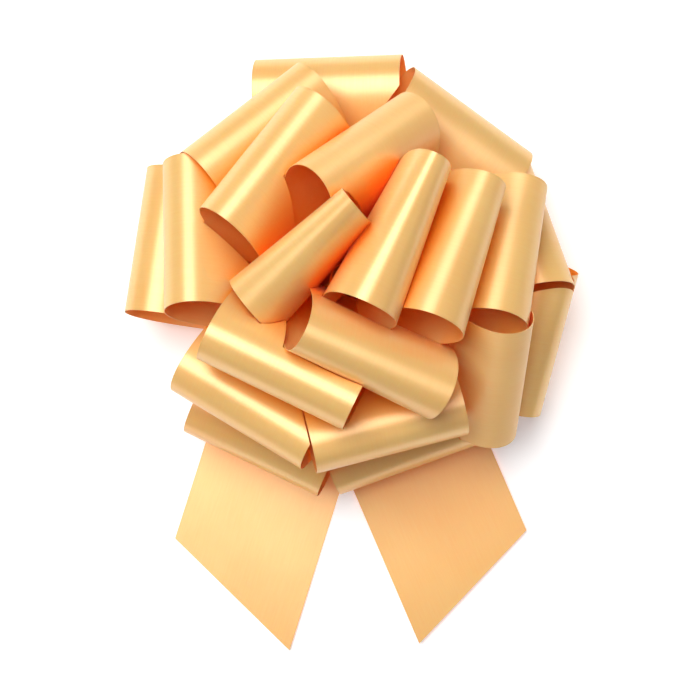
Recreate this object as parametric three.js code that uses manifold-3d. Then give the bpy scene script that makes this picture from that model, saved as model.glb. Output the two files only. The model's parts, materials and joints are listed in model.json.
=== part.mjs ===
// A pull bow: twenty loops and two tails of wide satin ribbon, gathered on a narrow pull ribbon.
// Millimetres. The bow lies on its back: z = 0 is the face that goes against the gift, +Z is the
// bow's axis, and the tails point towards -Y.
import * as THREE from "three";
import { mergeVertices } from "three/addons/utils/BufferGeometryUtils.js";
import Module from "manifold-3d";

const wasm = await Module();
wasm.setup();

// The wide ribbon
const ribbonWidth = 47.6;
const ribbonThickness = 0.3;
const clearance = 0.3; // between pieces that touch
const finestDetail = 0.05; // slivers smaller than this are cleaned off a cut edge

// The core: heat-sealed waists stacked on the pull ribbon
const sealPitch = 1.5;
const sealThickness = 0.4;
const sealRadius = 3.5;
const firstSealHeight = 2.25;
const pullWidth = 3;
const pullThickness = 0.6;
const flapThickness = 0.5;
const slotClearance = 0.3;

// Where a loop leaves its waist
const rootGap = 0.8; // from the edge of the seal
const rootRadius = sealRadius + rootGap;
const waistHalfWidth = 4; // the notch cut in each edge leaves this much either side
const legHalfGap = 0.35; // half the gap between a loop's two legs at the waist
const gatherLength = 38; // from the waist to where the ribbon is at full width
const twistLength = 20; // over which a loop turns from flat to its own tilt
const tearSharpness = 2.6; // how long the two legs stay together before they open
const loopGirth = 20; // widest opening of a plain loop
const loopSteps = 28;

// The tails
const tailHoleRadius = 1.9;
const tailTabLength = 4.5;
const tailGather = 40;
const tailSteps = 14;

// One segment between two waists gives two loops, a and b, from its two layers of ribbon.
// az and el point the loop; spin turns its ribbon about that direction; skew leans it;
// flare makes it a cone; shift slides the ribbon sideways. Degrees and millimetres.
const segments = [
  [
    { az: 93, el: 15, spin: -10, reach: 68, shift: 1 },
    { az: 289, el: 17, spin: 5, reach: 64 },
  ],
  [
    { az: 342, el: 17, spin: 16, reach: 71, shift: -0.5 },
    { az: 170, el: 15, spin: 9, reach: 65 },
  ],
  [
    { az: 15, el: 18, spin: -20, skew: -8, reach: 67 },
    { az: 243, el: 16, spin: 6, reach: 65, shift: 1 },
  ],
  [
    { az: 51, el: 18, spin: 18, reach: 65 },
    { az: 231, el: 37, spin: 14, reach: 66, shift: 4 },
  ],
  [
    { az: 326, el: 30, spin: 50, reach: 70, shift: 1 },
    { az: 119, el: 33, spin: 20, reach: 65, shift: 2 },
  ],
  [
    { az: 8, el: 37, spin: -30, reach: 68, shift: -2, flare: -0.1 },
    { az: 166, el: 42, spin: 24, reach: 66, shift: 1 },
  ],
  [
    { az: 289, el: 38, spin: -8, reach: 65.5, shift: -3 },
    { az: 123, el: 55, spin: 24, reach: 66.5, shift: 1 },
  ],
  [
    { az: 75, el: 52, spin: 59, reach: 63.5, shift: 5 },
    { az: 239, el: 60, spin: 6, reach: 68 },
  ],
  [
    { az: 12, el: 58, spin: -36, reach: 67, shift: -3, flare: -0.15 },
    { az: 288, el: 67, spin: -45, reach: 69, girth: 19, flare: 0.08 },
  ],
  [
    { az: 27, el: 78, spin: -52, reach: 70, shift: 2, girth: 18, flare: -0.24 },
    { az: 165, el: 82, spin: -36, skew: -24, reach: 66, girth: 16, flare: 0.27 },
  ],
];

// length is along the middle; cut is how much longer the ccw corner of the diagonal end is.
const tails = [
  { name: "tail_left", az: 252.4, shift: -3.3, length: 111.5, cut: 12, z: [0.95, 0.25, 1.3] },
  { name: "tail_right", az: 293.3, shift: -1, length: 111.3, cut: -10.2, z: [1.55, 1.1, 2.6] },
];

const ribbonMaterial = () =>
  new THREE.MeshStandardMaterial({ color: 0xf7c882, roughness: 0.38, metalness: 0 });
const sealMaterial = () =>
  new THREE.MeshStandardMaterial({ color: 0xe9a552, roughness: 0.3, metalness: 0 });
const radians = THREE.MathUtils.degToRad;
const ease = (x) => THREE.MathUtils.smoothstep(x, 0, 1);
const topside = 4; // the places of a BoxGeometry's +Z and -Z faces among its groups
const underside = 5;

function toSolid(geometry) {
  const bare = geometry.clone();
  bare.deleteAttribute("normal");
  bare.deleteAttribute("uv");
  const merged = mergeVertices(bare, 1e-4);
  return new wasm.Manifold(
    new wasm.Mesh({
      numProp: 3,
      vertProperties: merged.attributes.position.array,
      triVerts: new Uint32Array(merged.index.array),
    }),
  );
}

function toGeometry(solid) {
  const mesh = solid.getMesh();
  const geometry = new THREE.BufferGeometry();
  geometry.setAttribute("position", new THREE.BufferAttribute(mesh.vertProperties, 3));
  geometry.setIndex(new THREE.BufferAttribute(mesh.triVerts, 1));
  const flat = geometry.toNonIndexed();
  flat.computeVertexNormals();
  return flat;
}

// Splits the quads of one face of a block along their other diagonal.
function flipDiagonals(geometry, face) {
  const { start, count } = geometry.groups[face];
  const index = geometry.index;
  for (let i = start; i < start + count; i += 6) {
    index.setX(i + 2, index.getX(i + 4));
    index.setX(i + 3, index.getX(i));
  }
}

// A block bent to shape: place(along 0..1, across -1..1, side -1..1) gives each corner its place.
// flipped names the broad faces whose quads are split the other way.
function bentBlock(steps, flipped, place) {
  const geometry = new THREE.BoxGeometry(1, 1, 1, steps, 1, 1);
  for (const face of flipped) flipDiagonals(geometry, face);
  const position = geometry.attributes.position;
  for (let i = 0; i < position.count; i++) {
    const p = place(position.getX(i) + 0.5, position.getY(i) * 2, position.getZ(i) * 2);
    position.setXYZ(i, p.x, p.y, p.z);
  }
  return geometry;
}

// The teardrop's half opening goes from nothing at the waist to 1 and back to nothing at the tip.
const teardrop = (turn) => Math.sin(turn) * Math.abs(Math.sin(turn / 2)) ** tearSharpness;
const teardropPeak = Math.max(
  ...Array.from({ length: 181 }, (_, degree) => teardrop(radians(degree))),
);

// Middle of the ribbon in the loop's own frame: x towards the tip, y across, z out of the loop.
// turn runs from 0 at the lower waist, through pi at the tip, to 2 pi at the upper waist.
function loopPoint(loop, turn, across, extraWidth = 0) {
  const { reach, girth = loopGirth, flare = 0, shift = 0, skew = 0 } = loop;
  const x = (reach * (1 - Math.cos(turn))) / 2;
  const turned = ease(x / twistLength);
  const tilt = radians(loop.spin) * turned;
  const lean = radians(skew) * turned;
  const halfWidth =
    waistHalfWidth + (ribbonWidth / 2 - waistHalfWidth) * ease(x / gatherLength) + extraWidth;
  const cone = 1 + flare * across * ease(x / gatherLength);
  const leg = (turn < Math.PI ? -1 : 1) * legHalfGap * (1 - turned);
  const open = (-teardrop(turn) / teardropPeak) * (girth / 2) * cone + leg;
  const sideways = across * halfWidth + shift * ease(x / reach);
  const ruling = new THREE.Vector3(
    Math.sin(lean),
    Math.cos(tilt) * Math.cos(lean),
    Math.sin(tilt) * Math.cos(lean),
  );
  return new THREE.Vector3(x, -Math.sin(tilt) * open, Math.cos(tilt) * open).addScaledVector(
    ruling,
    sideways,
  );
}

// Towards the inside of the loop, square to the ribbon.
function loopInward(loop, turn, across) {
  const step = 0.08;
  const before = Math.max(turn - step, 0);
  const after = Math.min(turn + step, 2 * Math.PI);
  const along = loopPoint(loop, after, across).sub(loopPoint(loop, before, across));
  const over = loopPoint(loop, turn, 1).sub(loopPoint(loop, turn, -1));
  return along.cross(over).normalize();
}

// Both sides of the ribbon are split along the same diagonals, so that it can twist.
function loopRibbon(loop) {
  return bentBlock(loopSteps, [underside], (along, across, side) => {
    const turn = 2 * Math.PI * along;
    return loopPoint(loop, turn, across).addScaledVector(
      loopInward(loop, turn, across),
      (side * ribbonThickness) / 2,
    );
  });
}

// All the room a loop takes up, its inside included, with clearance all round. Its faces are
// split as the ribbon's are, so that they stay parallel to it.
function loopRoom(loop) {
  const margin = ribbonThickness / 2 + clearance;
  return bentBlock(loopSteps / 2, [topside, underside], (along, across, side) => {
    const turn = Math.PI * (side > 0 ? 2 - along : along);
    const p = loopPoint(loop, turn, across, margin);
    p.addScaledVector(loopInward(loop, turn, across), -margin);
    if (along === 1) {
      const tilt = radians(loop.spin);
      p.addScaledVector(new THREE.Vector3(0, -Math.sin(tilt), Math.cos(tilt)), side * margin);
    }
    return p;
  });
}

// The loop's frame in the bow: at the edge of its waist, pointing where the loop points.
function loopFrame(loop, level) {
  const az = radians(loop.az);
  const el = radians(loop.el);
  const out = new THREE.Vector3(
    Math.cos(el) * Math.cos(az),
    Math.cos(el) * Math.sin(az),
    Math.sin(el),
  );
  const across = new THREE.Vector3(-Math.sin(az), Math.cos(az), 0);
  const up = out.clone().cross(across);
  return new THREE.Matrix4()
    .makeBasis(out, across, up)
    .setPosition(
      rootRadius * Math.cos(az),
      rootRadius * Math.sin(az),
      firstSealHeight + sealPitch * (level + 0.5),
    );
}

const moved = (solid, matrix) => solid.transform(matrix.elements);
const biggest = (solid) =>
  solid.decompose().reduce((a, b) => (b.volume() > a.volume() ? b : a));

function named(name, geometry, material) {
  const mesh = new THREE.Mesh(geometry, material);
  mesh.name = name;
  return mesh;
}

// Loops, from the top of the bow down. Where a loop's ribbon would run into a tail or a loop
// above it, it is tucked in: it stops just short of it.
function makeLoops() {
  const group = new THREE.Group();
  const taken = tails.map((tail) => moved(toSolid(tailSheet(tail, clearance)), tailFrame(tail)));
  for (let level = segments.length - 1; level >= 0; level--) {
    segments[level].forEach((loop, layer) => {
      const frame = loopFrame(loop, level);
      const inverse = frame.clone().invert();
      let solid = moved(toSolid(loopRibbon(loop)), frame);
      for (const room of taken) solid = solid.subtract(room);
      taken.push(moved(toSolid(loopRoom(loop)), frame));
      const number = String(level + 1).padStart(2, "0");
      const own = biggest(solid.asOriginal().simplify(finestDetail));
      const name = `loop_${number}${"ab"[layer]}`;
      const mesh = named(name, toGeometry(moved(own, inverse)), ribbonMaterial());
      mesh.applyMatrix4(frame);
      group.add(mesh);
    });
  }
  return group;
}

// Heat-sealed waists: a small round of ribbon with a slot for the pull ribbon.
function makeSeals() {
  const group = new THREE.Group();
  const disc = new THREE.CylinderGeometry(sealRadius, sealRadius, sealThickness, 20);
  disc.rotateX(Math.PI / 2);
  const slot = new THREE.BoxGeometry(
    pullWidth + 2 * slotClearance,
    pullThickness + 2 * slotClearance,
    3 * sealThickness,
  );
  const geometry = toGeometry(toSolid(disc).subtract(toSolid(slot)));
  for (let i = 0; i <= segments.length; i++) {
    const name = `seal_${String(i + 1).padStart(2, "0")}`;
    const mesh = named(name, geometry.clone(), sealMaterial());
    mesh.position.z = firstSealHeight + sealPitch * i;
    group.add(mesh);
  }
  return group;
}

// The pull ribbon: two plies up through the slots, folded flat over the top waist, and knotted
// flat under the bottom one. The flat knot's underside is the face that meets the gift.
function makePullRibbon() {
  const topSeal = firstSealHeight + sealPitch * segments.length + sealThickness / 2;
  const top = topSeal + clearance + flapThickness;
  const strip = new THREE.BoxGeometry(pullWidth, pullThickness, top);
  strip.translate(0, 0, top / 2);
  const fold = new THREE.BoxGeometry(pullWidth, 6, flapThickness);
  fold.translate(0, 0, top - flapThickness / 2);
  const knot = new THREE.BoxGeometry(9, 7, flapThickness);
  knot.translate(0, 0, flapThickness / 2);
  const solid = toSolid(strip).add(toSolid(fold)).add(toSolid(knot));
  return named("pull_ribbon", toGeometry(solid), sealMaterial());
}

// A tail's sheet of ribbon or, with a margin, the room it takes up.
function tailSheet(tail, margin = 0) {
  const [coreHeight, restHeight, tipHeight] = tail.z;
  const height = (x) =>
    coreHeight +
    (restHeight - coreHeight) * ease((x - 8) / 17) +
    (tipHeight - restHeight) * ease((x - 65) / 60);
  return bentBlock(tailSteps, [underside], (along, across, side) => {
    const end = tail.length + tail.cut * across;
    const x = -tailTabLength + along * (end + tailTabLength);
    const wide = ease((x - tailTabLength) / tailGather);
    const halfWidth = waistHalfWidth + (ribbonWidth / 2 - waistHalfWidth) * wide + margin;
    const y = across * halfWidth + tail.shift * wide;
    return new THREE.Vector3(x, y, height(x) + side * (ribbonThickness / 2 + margin));
  });
}

const tailFrame = (tail) => new THREE.Matrix4().makeRotationZ(radians(tail.az));

function makeTail(tail) {
  const hole = new THREE.CylinderGeometry(tailHoleRadius, tailHoleRadius, 8, 20);
  hole.rotateX(Math.PI / 2);
  const solid = toSolid(tailSheet(tail)).subtract(toSolid(hole));
  const mesh = named(tail.name, toGeometry(solid), ribbonMaterial());
  mesh.applyMatrix4(tailFrame(tail));
  return mesh;
}

const bow = new THREE.Group();
bow.add(makeLoops(), makeSeals(), makePullRibbon(), ...tails.map(makeTail));

export default bow;
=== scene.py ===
# A pull bow of wide satin ribbon, lying on its back on a white table. Metres, in the CAD frame:
# z = 0 is the face that goes against the gift, +Z is the bow's axis, the tails point towards -Y.
import json
import math

import bpy
import numpy as np
from mathutils import Matrix, Vector


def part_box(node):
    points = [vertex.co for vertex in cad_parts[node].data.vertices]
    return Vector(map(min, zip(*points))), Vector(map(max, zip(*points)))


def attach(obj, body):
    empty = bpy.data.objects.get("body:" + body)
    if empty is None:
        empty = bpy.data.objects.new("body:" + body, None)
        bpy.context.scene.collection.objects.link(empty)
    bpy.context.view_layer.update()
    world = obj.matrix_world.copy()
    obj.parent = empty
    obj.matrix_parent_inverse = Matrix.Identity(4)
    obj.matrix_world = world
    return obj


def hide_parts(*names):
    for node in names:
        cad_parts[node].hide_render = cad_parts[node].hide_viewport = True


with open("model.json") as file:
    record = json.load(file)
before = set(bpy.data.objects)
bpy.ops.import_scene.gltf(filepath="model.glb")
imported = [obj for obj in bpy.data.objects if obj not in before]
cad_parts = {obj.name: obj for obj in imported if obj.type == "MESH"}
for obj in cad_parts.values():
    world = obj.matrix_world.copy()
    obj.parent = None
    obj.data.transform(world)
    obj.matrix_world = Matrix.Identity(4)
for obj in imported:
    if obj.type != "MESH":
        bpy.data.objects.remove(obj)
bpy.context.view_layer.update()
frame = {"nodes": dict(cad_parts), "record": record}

mm = 0.001
core = Vector(frame["record"]["mounts"][0]["pos_m"])
print("frame loaded:", len(frame["nodes"]), "parts")


def linearColor(hexColor, alpha=1.0):
    channels = [int(hexColor[i:i + 2], 16) / 255 for i in (0, 2, 4)]
    linear = [c / 12.92 if c <= 0.04045 else ((c + 0.055) / 1.055) ** 2.4 for c in channels]
    return (*linear, alpha)


def addNode(tree, kind, settings=None, links=None):
    node = tree.nodes.new(kind)
    for name, value in (settings or {}).items():
        if isinstance(name, int) or name in node.inputs:
            node.inputs[name].default_value = value
        else:
            setattr(node, name, value)
    for name, source in (links or {}).items():
        tree.links.new(source, node.inputs[name])
    return node


def ease(x):
    x = np.clip(x, 0, 1)
    return x * x * (3 - 2 * x)


def deselectAll():
    if bpy.context.object and bpy.context.object.mode != "OBJECT":
        bpy.ops.object.mode_set(mode="OBJECT")
    bpy.ops.object.select_all(action="DESELECT")


def makeActive(piece):
    deselectAll()
    piece.select_set(True)
    bpy.context.view_layer.objects.active = piece


def addModifier(piece, kind, settings):
    makeActive(piece)
    modifier = piece.modifiers.new(kind.lower(), kind)
    for name, value in settings.items():
        setattr(modifier, name, value)
    bpy.ops.object.modifier_apply(modifier=modifier.name)


camera = {
    "aim": (2.3 * mm, -24 * mm),  # straight down on a point between the loops and the tails
    "height": 0.540,
    "lens": 83.3,
    "sensor": 36,
    "nearest": 0.05,
}


def makeCamera():
    data = bpy.data.cameras.new("camera")
    data.lens = camera["lens"]
    data.sensor_width = camera["sensor"]
    data.clip_start = camera["nearest"]
    item = bpy.data.objects.new("camera", data)
    item.location = (*camera["aim"], camera["height"])
    bpy.context.scene.collection.objects.link(item)
    bpy.context.scene.camera = item


studio = {
    "skyColor": "ffffff",
    "skyStrength": 0.1,
    "keyPlace": (-0.26, 0.34, 1.2),
    "keySize": 0.95,
    "keyPower": 19.5,
    "fillPlace": (0.7, -0.5, 1.0),
    "fillSize": 1.0,
    "fillPower": 1,
    "table": "f6f6f6",
    "tableGlow": 0.3,  # an opal board lit from below, which keeps shadows faint
    "tableRoughness": 0.9,
    "tableShine": 0.1,
    "tableSize": 6.0,
    "bounces": 16,  # light goes from layer to layer many times
    "diffuseBounces": 10,
}


def makeStudio():
    scene = bpy.context.scene
    scene.view_settings.view_transform = "Standard"
    scene.view_settings.look = "None"
    scene.cycles.max_bounces = studio["bounces"]
    scene.cycles.diffuse_bounces = studio["diffuseBounces"]
    world = bpy.data.worlds.new("softTent")
    world.use_nodes = True
    sky = world.node_tree.nodes["Background"]
    sky.inputs["Color"].default_value = linearColor(studio["skyColor"])
    sky.inputs["Strength"].default_value = studio["skyStrength"]
    scene.world = world
    for name in ("key", "fill"):
        data = bpy.data.lights.new(name + "Softbox", "AREA")
        data.shape = "DISK"
        data.size = studio[name + "Size"]
        data.energy = studio[name + "Power"]
        lamp = bpy.data.objects.new(name + "Softbox", data)
        lamp.location = studio[name + "Place"]
        lamp.rotation_euler = (-lamp.location).to_track_quat("-Z", "Y").to_euler()
        scene.collection.objects.link(lamp)

    deselectAll()
    bpy.ops.mesh.primitive_plane_add(size=studio["tableSize"], location=(core.x, core.y, core.z))
    table = bpy.context.object
    table.name = "table_top"
    paint = bpy.data.materials.new("whiteTableBoard")
    paint.use_nodes = True
    shader = paint.node_tree.nodes["Principled BSDF"]
    shader.inputs["Base Color"].default_value = linearColor(studio["table"])
    shader.inputs["Roughness"].default_value = studio["tableRoughness"]
    shader.inputs["Specular IOR Level"].default_value = studio["tableShine"]
    shader.inputs["Emission Color"].default_value = linearColor(studio["table"])
    shader.inputs["Emission Strength"].default_value = studio["tableGlow"]
    table.data.materials.append(paint)


makeCamera()
makeStudio()
print("camera and light ready")


satinFinish = {
    "face": "ffcb80",  # golden peach
    "shade": "fec174",  # where the dye lies a little deeper
    "paintedFoldShade": "ff9a1a",  # painted shade: saturated orange painted into folds, in place of light thrown from layer to layer
    "foldDepth": 22 * mm,  # how near the next layer has to be
    "foldRange": (0.75, 0.1),  # openness at which the painted fold shade starts and is full
    "foldSamples": 8,
    "patchSize": 30 * mm,  # dye and tension vary over about this length
    "streakWidth": 0.5 * mm,  # yarns are about 0.1 mm apart, drawn coarser so that they show
    "streakLength": 9 * mm,
    "streakShare": 0.6,  # of the tone, next to the patches' 1
    "bumpHeight": 0.03 * mm,
    "bumpStrength": 0.5,
    "toneRange": (0.55, 1.1),
    "roughness": (0.38, 0.46),
    "silk": 0.2,  # share of light that glances off the filaments
    "stretch": 0.8,  # filaments along the ribbon draw the highlight out across it
    "stretchTurn": 0.25,  # a quarter turn from the ribbon's own direction
    "ior": 1.57,  # polyester
    "shine": 0.9,
    "sheen": 0.04,
    "sheenRoughness": 0.45,
    "glow": 0.5,  # light passes through one layer of ribbon
    "glowReach": (1.0, 0.55, 0.2),
    "glowScale": 0.5 * mm,
    "selvage": 0.7 * mm,  # a woven edge is a little denser
    "selvageTone": 0.93,
}
ribbonWidth = 47.6 * mm


def makeSatin():
    # Polyester satin ribbon: long floats along the ribbon give a broad, soft, silky highlight.
    material = bpy.data.materials.new("polyesterSatinRibbon")
    material.use_nodes = True
    tree = material.node_tree
    shader = tree.nodes["Principled BSDF"]
    shader.inputs["IOR"].default_value = satinFinish["ior"]
    shader.inputs["Metallic"].default_value = satinFinish["silk"]
    shader.inputs["Anisotropic"].default_value = satinFinish["stretch"]
    shader.inputs["Anisotropic Rotation"].default_value = satinFinish["stretchTurn"]
    shader.inputs["Sheen Weight"].default_value = satinFinish["sheen"]
    shader.inputs["Sheen Roughness"].default_value = satinFinish["sheenRoughness"]
    shader.inputs["Specular IOR Level"].default_value = satinFinish["shine"]
    shader.inputs["Subsurface Weight"].default_value = satinFinish["glow"]
    shader.inputs["Subsurface Radius"].default_value = satinFinish["glowReach"]
    shader.inputs["Subsurface Scale"].default_value = satinFinish["glowScale"]

    onRibbon = addNode(tree, "ShaderNodeUVMap", {"uv_map": "ribbon"}).outputs["UV"]
    lie = (1 / satinFinish["streakLength"], 1 / satinFinish["streakWidth"], 1)
    along = addNode(tree, "ShaderNodeMapping", {"Scale": lie}, {"Vector": onRibbon})
    streaks = addNode(tree, "ShaderNodeTexNoise", {"Scale": 1.0, "Detail": 3.0},
                      {"Vector": along.outputs["Vector"]}).outputs["Fac"]
    place = addNode(tree, "ShaderNodeTexCoord").outputs["Object"]
    patches = addNode(tree, "ShaderNodeTexNoise", {"Scale": 1 / satinFinish["patchSize"], "Detail": 2.0},
                      {"Vector": place}).outputs["Fac"]

    mixed = addNode(tree, "ShaderNodeMath", {"operation": "MULTIPLY_ADD", 1: satinFinish["streakShare"]},
                    {0: streaks, 2: patches})
    light, dark = satinFinish["toneRange"]
    tone = addNode(tree, "ShaderNodeMapRange", {"From Min": light, "From Max": dark},
                   {"Value": mixed.outputs[0]})
    dye = addNode(tree, "ShaderNodeMix", {"data_type": "RGBA"}, {0: tone.outputs["Result"]})
    dye.inputs[6].default_value = linearColor(satinFinish["face"])
    dye.inputs[7].default_value = linearColor(satinFinish["shade"])

    # the woven edge: |v| near half the ribbon's width
    acrossOnly = addNode(tree, "ShaderNodeSeparateXYZ", links={"Vector": onRibbon}).outputs["Y"]
    fromMiddle = addNode(tree, "ShaderNodeMath", {"operation": "ABSOLUTE"}, {0: acrossOnly})
    edge = addNode(tree, "ShaderNodeMapRange",
                   {"From Min": ribbonWidth / 2 - satinFinish["selvage"], "From Max": ribbonWidth / 2,
                    "To Min": 1.0, "To Max": satinFinish["selvageTone"],
                    "interpolation_type": "SMOOTHSTEP"},
                   {"Value": fromMiddle.outputs[0]})
    colour = addNode(tree, "ShaderNodeMix", {"data_type": "RGBA", "blend_type": "MULTIPLY", 0: 1.0},
                     {6: dye.outputs[2], 7: edge.outputs["Result"]})

    # painted shade: where ambient occlusion finds a fold, the base colour is mixed towards saturated
    # orange, in place of light passed from layer to layer taking on more of the dye each time
    openness = addNode(tree, "ShaderNodeAmbientOcclusion",
                       {"Distance": satinFinish["foldDepth"], "samples": satinFinish["foldSamples"]})
    starts, full = satinFinish["foldRange"]
    paintedShadeAmount = addNode(tree, "ShaderNodeMapRange",
                     {"From Min": starts, "From Max": full, "interpolation_type": "SMOOTHSTEP"},
                     {"Value": openness.outputs["AO"]})
    # the painted fold shade, mixed into the base colour
    paintedFoldMix = addNode(tree, "ShaderNodeMix", {"data_type": "RGBA"},
                     {0: paintedShadeAmount.outputs["Result"], 6: colour.outputs[2]})
    paintedFoldMix.inputs[7].default_value = linearColor(satinFinish["paintedFoldShade"])
    tree.links.new(paintedFoldMix.outputs[2], shader.inputs["Base Color"])

    low, high = satinFinish["roughness"]
    gloss = addNode(tree, "ShaderNodeMapRange", {"To Min": low, "To Max": high}, {"Value": streaks})
    tree.links.new(gloss.outputs["Result"], shader.inputs["Roughness"])
    bump = addNode(tree, "ShaderNodeBump", {"Strength": satinFinish["bumpStrength"],
                                             "Distance": satinFinish["bumpHeight"]},
                   {"Height": streaks})
    tree.links.new(bump.outputs["Normal"], shader.inputs["Normal"])
    warp = addNode(tree, "ShaderNodeTangent", {"direction_type": "UV_MAP", "uv_map": "ribbon"})
    tree.links.new(warp.outputs["Tangent"], shader.inputs["Tangent"])
    return material


sealFinish = {
    "face": "f0b060",
    "pressed": "dc9440",
    "dotSpacing": 0.9 * mm,  # the welding tool's crimp
    "dotUnevenness": 0.15,
    "dotRange": (0.1, 0.5),  # distance from a dot's middle, where the colour changes over
    "dotDepth": 0.05 * mm,
    "dotStrength": 0.4,
    "ior": 1.57,
    "roughness": (0.28, 0.28 + 0.15),
}


def makePressedRibbon():
    # Ribbon pressed and melted by a hot tool: smoother, darker and glossier, with a crimp pattern.
    material = bpy.data.materials.new("heatPressedPolyester")
    material.use_nodes = True
    tree = material.node_tree
    shader = tree.nodes["Principled BSDF"]
    shader.inputs["IOR"].default_value = sealFinish["ior"]
    place = addNode(tree, "ShaderNodeTexCoord").outputs["Object"]
    dots = addNode(tree, "ShaderNodeTexVoronoi",
                   {"Scale": 1 / sealFinish["dotSpacing"], "Randomness": sealFinish["dotUnevenness"]},
                   {"Vector": place}).outputs["Distance"]
    middle, rim = sealFinish["dotRange"]
    tone = addNode(tree, "ShaderNodeMapRange", {"From Min": middle, "From Max": rim}, {"Value": dots})
    dye = addNode(tree, "ShaderNodeMix", {"data_type": "RGBA"}, {0: tone.outputs["Result"]})
    dye.inputs[6].default_value = linearColor(sealFinish["pressed"])
    dye.inputs[7].default_value = linearColor(sealFinish["face"])
    tree.links.new(dye.outputs[2], shader.inputs["Base Color"])
    low, high = sealFinish["roughness"]
    gloss = addNode(tree, "ShaderNodeMapRange", {"To Min": low, "To Max": high}, {"Value": dots})
    tree.links.new(gloss.outputs["Result"], shader.inputs["Roughness"])
    bump = addNode(tree, "ShaderNodeBump",
                   {"Strength": sealFinish["dotStrength"], "Distance": sealFinish["dotDepth"]},
                   {"Height": dots})
    tree.links.new(bump.outputs["Normal"], shader.inputs["Normal"])
    return material


satin = makeSatin()
pressed = makePressedRibbon()
print("materials ready")


sheet = {
    "thickness": 0.2 * mm,
    "stepsAlong": 120,
    "stepsAcross": 14,
    "room": 0.28 * mm,  # kept clear round each loop's ribbon
    "smoothUpTo": 40,  # degrees
    "turnStep": 0.05,  # radians either side of a point, to find which way its ribbon faces
}


def makeMesh(name, corners, faces, uvs=None):
    data = bpy.data.meshes.new(name)
    data.from_pydata([tuple(c) for c in corners], [], faces)
    if uvs is not None:
        layer = data.uv_layers.new(name="ribbon")
        corner = np.array([loop.vertex_index for loop in data.loops])
        layer.data.foreach_set("uv", np.asarray(uvs, np.float32)[corner].ravel())
    piece = bpy.data.objects.new(name, data)
    bpy.context.scene.collection.objects.link(piece)
    makeActive(piece)
    bpy.ops.object.mode_set(mode="EDIT")
    bpy.ops.mesh.select_all(action="SELECT")
    bpy.ops.mesh.normals_make_consistent(inside=False)
    bpy.ops.object.mode_set(mode="OBJECT")
    return piece


def slabMesh(name, above, below, uvs=None):
    # Two grids of points, one above the other, closed round their rim.
    rows, columns = above.shape[:2]
    count = rows * columns
    corners = np.concatenate([above.reshape(-1, 3), below.reshape(-1, 3)])
    grid = np.arange(count).reshape(rows, columns)
    quads = np.stack([grid[:-1, :-1], grid[1:, :-1], grid[1:, 1:], grid[:-1, 1:]], -1).reshape(-1, 4)
    faces = [tuple(q) for q in quads] + [tuple(q[::-1] + count) for q in quads]
    rim = np.concatenate([grid[0, :-1], grid[:-1, -1], grid[-1, :0:-1], grid[:0:-1, 0]])
    for a, b in zip(rim, np.roll(rim, -1)):
        faces.append((a, b, b + count, a + count))
    return makeMesh(name, corners, faces, None if uvs is None else np.concatenate([uvs, uvs]))


# The loops, from the gift up: two from each segment of ribbon, one from each layer.
# az and el point the loop; spin turns its ribbon about that direction; skew leans it;
# flare makes it a cone; shift slides the ribbon sideways. Degrees and millimetres.
loops = {
    "loop_01a": dict(az=93, el=15, spin=-10, reach=68, shift=1),
    "loop_01b": dict(az=289, el=17, spin=5, reach=64),
    "loop_02a": dict(az=342, el=17, spin=16, reach=71, shift=-0.5),
    "loop_02b": dict(az=170, el=15, spin=9, reach=65),
    "loop_03a": dict(az=15, el=18, spin=-20, skew=-8, reach=67),
    "loop_03b": dict(az=243, el=16, spin=6, reach=65, shift=1),
    "loop_04a": dict(az=51, el=18, spin=18, reach=65),
    "loop_04b": dict(az=231, el=37, spin=14, reach=66, shift=4),
    "loop_05a": dict(az=326, el=30, spin=50, reach=70, shift=1),
    "loop_05b": dict(az=119, el=33, spin=20, reach=65, shift=2),
    "loop_06a": dict(az=8, el=37, spin=-30, reach=68, shift=-2, flare=-0.1),
    "loop_06b": dict(az=166, el=42, spin=24, reach=66, shift=1),
    "loop_07a": dict(az=289, el=38, spin=-8, reach=65.5, shift=-3),
    "loop_07b": dict(az=123, el=55, spin=24, reach=66.5, shift=1),
    "loop_08a": dict(az=75, el=52, spin=59, reach=63.5, shift=5),
    "loop_08b": dict(az=239, el=60, spin=6, reach=68),
    "loop_09a": dict(az=12, el=58, spin=-36, reach=67, shift=-3, flare=-0.15),
    "loop_09b": dict(az=288, el=67, spin=-45, reach=69, girth=19, flare=0.08),
    "loop_10a": dict(az=27, el=78, spin=-52, reach=70, shift=2, girth=18, flare=-0.24),
    "loop_10b": dict(az=165, el=82, spin=-36, skew=-24, reach=66, girth=16, flare=0.27),
}
loopShape = {
    "girth": 20,  # widest opening
    "waistHalfWidth": 4,
    "gather": 38,  # from the waist to where the ribbon is at full width
    "twist": 20,  # over which it turns from flat to its own tilt
    "sharpness": 2.6,  # how long the two legs stay together
    "legHalfGap": 0.35,
    "rootRadius": 4.3,
}


def teardrop(turn):
    return np.sin(turn) * np.abs(np.sin(turn / 2)) ** loopShape["sharpness"]


teardropPeak = teardrop(np.linspace(0, math.pi, 721)).max()


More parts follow.
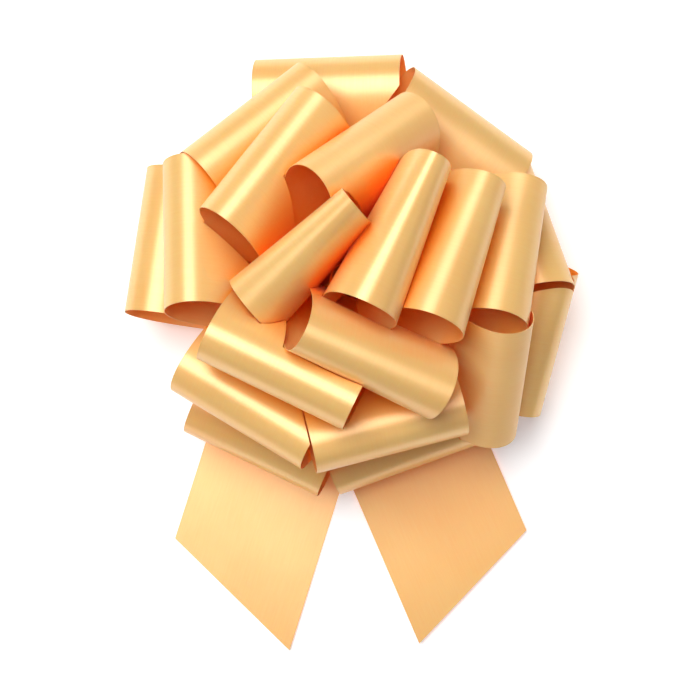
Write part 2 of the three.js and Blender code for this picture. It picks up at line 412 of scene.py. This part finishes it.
def loopPoints(loop, turn, across, extraWidth=0.0):
    # Middle of the ribbon, x towards the tip, y across, z out of the loop, in millimetres.
    # turn runs from 0 at the lower waist, through pi at the tip, to 2 pi at the upper waist.
    turn, across = np.broadcast_arrays(turn, across)
    reach, girth = loop["reach"], loop.get("girth", loopShape["girth"])
    waist = loopShape["waistHalfWidth"]
    x = reach * (1 - np.cos(turn)) / 2
    turned = ease(x / loopShape["twist"])
    tilt = math.radians(loop["spin"]) * turned
    lean = math.radians(loop.get("skew", 0)) * turned
    wide = ease(x / loopShape["gather"])
    halfWidth = waist + (ribbonWidth / mm / 2 - waist) * wide + extraWidth
    cone = 1 + loop.get("flare", 0) * across * wide
    leg = np.where(turn < math.pi, -1, 1) * loopShape["legHalfGap"] * (1 - turned)
    gap = -teardrop(turn) / teardropPeak * girth / 2 * cone + leg
    sideways = across * halfWidth + loop.get("shift", 0) * ease(x / reach)
    ruling = np.stack([np.sin(lean), np.cos(tilt) * np.cos(lean), np.sin(tilt) * np.cos(lean)], -1)
    middle = np.stack([x, -np.sin(tilt) * gap, np.cos(tilt) * gap], -1)
    return middle + ruling * sideways[..., None]


def loopInward(loop, turn, across):
    step = sheet["turnStep"]
    after = loopPoints(loop, np.minimum(turn + step, 2 * math.pi), across)
    before = loopPoints(loop, np.maximum(turn - step, 0), across)
    over = loopPoints(loop, turn, 1.0) - loopPoints(loop, turn, -1.0)
    inward = np.cross(after - before, over)
    return inward / np.linalg.norm(inward, axis=-1, keepdims=True)


def loopFrame(name):
    # At the edge of the loop's waist, pointing where the loop points.
    loop, level = loops[name], int(name[5:7])
    low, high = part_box(f"seal_{level:02d}"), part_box(f"seal_{level + 1:02d}")
    middle = (low[0].z + low[1].z + high[0].z + high[1].z) / 4
    az, el = math.radians(loop["az"]), math.radians(loop["el"])
    out = Vector((math.cos(el) * math.cos(az), math.cos(el) * math.sin(az), math.sin(el)))
    across = Vector((-math.sin(az), math.cos(az), 0))
    turned = Matrix((out, across, out.cross(across))).transposed()
    root = loopShape["rootRadius"] * mm
    place = Vector((core.x + root * math.cos(az), core.y + root * math.sin(az), middle))
    return np.array(turned), np.array(place)


def placed(points, loopPlace):
    turned, place = loopPlace
    return points * mm @ turned.T + place


def makeLoop(name, loopPlace):
    loop = loops[name]
    turn = np.linspace(0, 2 * math.pi, sheet["stepsAlong"] + 1)[:, None]
    across = np.linspace(-1, 1, sheet["stepsAcross"] + 1)[None, :]
    middle = loopPoints(loop, turn, across)
    inward = loopInward(loop, turn + 0 * across, across + 0 * turn) * sheet["thickness"] / mm / 2
    line = loopPoints(loop, turn[:, 0], 0.0)
    run = np.concatenate([[0], np.cumsum(np.linalg.norm(np.diff(line, axis=0), axis=1))]) * mm
    u = np.repeat(run[:, None], across.size, 1)
    v = np.repeat(across * ribbonWidth / 2, turn.size, 0)
    uvs = np.stack([u, v], -1).reshape(-1, 2)
    inside, outside = placed(middle + inward, loopPlace), placed(middle - inward, loopPlace)
    return slabMesh("ribbon_" + name, inside, outside, uvs), run[-1]


def makeRoom(name, loopPlace):
    # All the space a loop takes up, its inside included.
    loop = loops[name]
    margin = (sheet["thickness"] / 2 + sheet["room"]) / mm
    along = np.linspace(0, 1, sheet["stepsAlong"] // 2 + 1)
    across = np.linspace(-1, 1, 3)[None, :]
    sides = []
    for turn in (math.pi * along, math.pi * (2 - along)):
        turn = turn[:, None]
        inward = loopInward(loop, turn + 0 * across, across + 0 * turn)
        sides.append(loopPoints(loop, turn, across, margin) - margin * inward)
    tilt = math.radians(loop["spin"])
    apart = margin * np.array([0, -math.sin(tilt), math.cos(tilt)])
    sides[0][-1] -= apart
    sides[1][-1] += apart
    return slabMesh("room_" + name, placed(sides[1], loopPlace), placed(sides[0], loopPlace))


def keepBiggest(piece):
    # A cut can leave scraps beyond the loop above: only the ribbon itself stays.
    name = piece.name
    makeActive(piece)
    bpy.ops.object.mode_set(mode="EDIT")
    bpy.ops.mesh.select_all(action="SELECT")
    bpy.ops.mesh.separate(type="LOOSE")
    bpy.ops.object.mode_set(mode="OBJECT")
    parts = sorted(bpy.context.selected_objects, key=lambda o: len(o.data.vertices))
    for scrap in parts[:-1]:
        bpy.data.objects.remove(scrap)
    parts[-1].name = name
    return parts[-1]


def meet(boxA, boxB):
    return all(boxA[0][i] < boxB[1][i] and boxB[0][i] < boxA[1][i] for i in range(3))


def boxOf(piece):
    points = np.array([v.co for v in piece.data.vertices])
    return points.min(0), points.max(0)


def cutAway(piece, cutter):
    addModifier(piece, "BOOLEAN", {"operation": "DIFFERENCE", "solver": "MANIFOLD", "object": cutter})


def finishSheet(piece, node, body):
    makeActive(piece)
    bpy.ops.object.shade_smooth_by_angle(angle=math.radians(sheet["smoothUpTo"]))
    piece.data.materials.clear()
    piece.data.materials.append(satin)
    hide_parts(node)
    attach(piece, body)


def makeLoops():
    # From the top down: where a lower loop runs into one above it, its ribbon is tucked in.
    rooms = []
    for name in sorted(loops, key=lambda n: (-int(n[5:7]), n)):
        loopPlace = loopFrame(name)
        piece, length = makeLoop(name, loopPlace)
        for room in rooms:
            if meet(boxOf(piece), boxOf(room)):
                cutAway(piece, room)
        rooms.append(makeRoom(name, loopPlace))
        piece = keepBiggest(piece)
        finishSheet(piece, name, "head")
    for room in rooms:
        bpy.data.objects.remove(room)


makeLoops()
print("loops made")


# az points the tail; length is along its middle; cut is how much longer one corner of the
# diagonal end is; z is its height at the core, where it rests and at the tip. Degrees, millimetres.
tails = {
    "tail_left": dict(az=252.4, shift=-3.3, length=111.5, cut=12, z=(0.95, 0.25, 1.3)),
    "tail_right": dict(az=293.3, shift=-1, length=111.3, cut=-10.2, z=(1.55, 1.1, 2.6)),
}
tailShape = {
    "tab": 4.5,
    "gather": 40,
    "sinks": (8, 17),  # where it starts to come down to rest, and over what length
    "lifts": (65, 60),  # where it starts to rise again, and over what length
    "holeRadius": 1.9,
    "holeDepth": 8,
    "holeSides": 48,
    "steps": 60,
}


def makeTail(name):
    tail = tails[name]
    along = np.linspace(0, 1, tailShape["steps"] + 1)[:, None]
    across = np.linspace(-1, 1, sheet["stepsAcross"] + 1)[None, :]
    end = tail["length"] + tail["cut"] * across
    x = -tailShape["tab"] + along * (end + tailShape["tab"])
    wide = ease((x - tailShape["tab"]) / tailShape["gather"])
    waist = loopShape["waistHalfWidth"]
    y = across * (waist + (ribbonWidth / mm / 2 - waist) * wide) + tail["shift"] * wide
    atCore, atRest, atTip = tail["z"]
    (sinkStart, sinkLength), (liftStart, liftLength) = tailShape["sinks"], tailShape["lifts"]
    down, up = ease((x - sinkStart) / sinkLength), ease((x - liftStart) / liftLength)
    z = atCore + (atRest - atCore) * down + (atTip - atRest) * up
    middle = np.stack([x, y, z + 0 * across], -1)
    az = math.radians(tail["az"])
    turned = np.array([[math.cos(az), -math.sin(az), 0], [math.sin(az), math.cos(az), 0], [0, 0, 1]])
    half = np.array([0, 0, sheet["thickness"] / mm / 2])
    uvs = np.stack([x * mm, np.broadcast_to(across * ribbonWidth / 2, x.shape)], -1).reshape(-1, 2)
    tailPlace = (turned, np.array(core))
    top, bottom = placed(middle + half, tailPlace), placed(middle - half, tailPlace)
    piece = slabMesh("ribbon_" + name, top, bottom, uvs)
    deselectAll()
    bpy.ops.mesh.primitive_cylinder_add(vertices=tailShape["holeSides"], location=core,
                                        radius=tailShape["holeRadius"] * mm,
                                        depth=tailShape["holeDepth"] * mm)
    hole = bpy.context.object
    cutAway(piece, hole)
    bpy.data.objects.remove(hole)
    finishSheet(piece, name, name)


for tailName in tails:
    makeTail(tailName)
print("tails made")


# The core is the CAD's own: heat-sealed waists on the pull ribbon.
for nodeName, node in frame["nodes"].items():
    if nodeName.startswith("seal_") or nodeName == "pull_ribbon":
        node.data.materials.clear()
        node.data.materials.append(pressed)
print("core finished")
